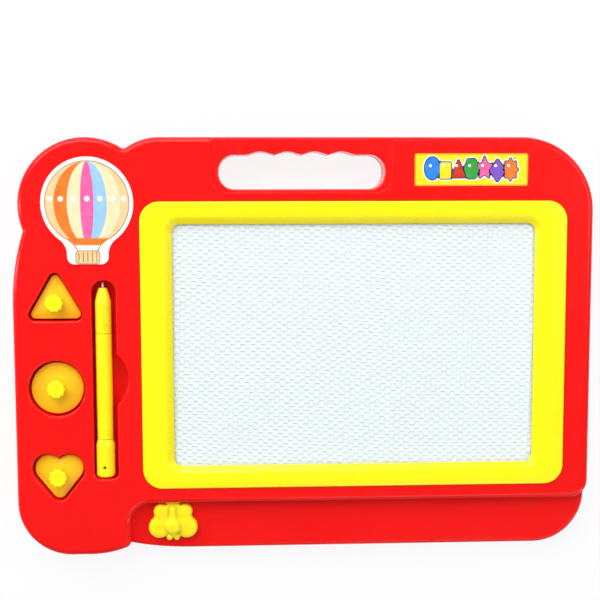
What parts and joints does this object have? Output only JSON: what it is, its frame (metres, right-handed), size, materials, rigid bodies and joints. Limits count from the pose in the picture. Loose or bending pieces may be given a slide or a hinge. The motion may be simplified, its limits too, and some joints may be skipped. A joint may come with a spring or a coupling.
{
  "type": "magnetic drawing board",
  "caption": "Flat child's magnetic drawing board with a framed screen, grip hole, sliding eraser knob on a ledge, lift-out shape stamps and a lift-out pen.",
  "frame": {"origin": "on the table, under the centre of the board", "axes": "+X to the right along the ledge, +Y towards the grip hole, +Z out of the screen"},
  "size_m": [0.385, 0.2784, 0.0278],
  "materials": {
    "red_plastic": "glossy injection moulded",
    "yellow_plastic": "glossy injection moulded",
    "amber_plastic": "glossy, slightly see-through look",
    "honeycomb_plastic": "thin cell walls",
    "clear_film": "clear glossy film",
    "back_film": "matte film",
    "magnet_rubber": "rubber bonded magnet",
    "steel": "plain steel",
    "label_print": "printed film",
    "picture_print": "printed film"
  },
  "bodies": {
    "case": {"front_shell": "red_plastic", "back_cover": "red_plastic", "screen_bezel": "yellow_plastic", "screen_front_film": "clear_film", "honeycomb_core": "honeycomb_plastic", "screen_back_film": "back_film", "label_sticker": "label_print", "picture_sticker": "picture_print", "case_screw_1": "steel", "case_screw_2": "steel", "case_screw_3": "steel", "case_screw_4": "steel", "case_screw_5": "steel", "case_screw_6": "steel", "case_screw_7": "steel", "case_screw_8": "steel", "case_screw_9": "steel", "case_screw_10": "steel"},
    "eraser": {"eraser_carriage": "yellow_plastic", "eraser_magnet": "magnet_rubber", "eraser_knob": "yellow_plastic"},
    "triangle_stamp": {"triangle_stamp_base": "amber_plastic", "triangle_stamp_knob": "yellow_plastic", "triangle_stamp_magnet": "magnet_rubber"},
    "circle_stamp": {"circle_stamp_base": "amber_plastic", "circle_stamp_knob": "yellow_plastic", "circle_stamp_magnet": "magnet_rubber"},
    "heart_stamp": {"heart_stamp_base": "amber_plastic", "heart_stamp_knob": "yellow_plastic", "heart_stamp_magnet": "magnet_rubber"},
    "pen": {"pen_nose": "yellow_plastic", "pen_barrel": "yellow_plastic", "pen_end_cap": "yellow_plastic", "pen_tip": "steel"}
  },
  "joints": [
    {"name": "eraser_slide", "type": "slide", "parent": "case", "child": "eraser", "axis": [1, 0, 0], "range_m": [0, 0.244]},
    {"name": "pen_lift", "type": "slide", "parent": "case", "child": "pen", "axis": [0, 0, 1], "range_m": [0, 0.05]},
    {"name": "triangle_stamp_lift", "type": "slide", "parent": "case", "child": "triangle_stamp", "axis": [0, 0, 1], "range_m": [0, 0.04]},
    {"name": "circle_stamp_lift", "type": "slide", "parent": "case", "child": "circle_stamp", "axis": [0, 0, 1], "range_m": [0, 0.04]},
    {"name": "heart_stamp_lift", "type": "slide", "parent": "case", "child": "heart_stamp", "axis": [0, 0, 1], "range_m": [0, 0.04]}
  ]
}
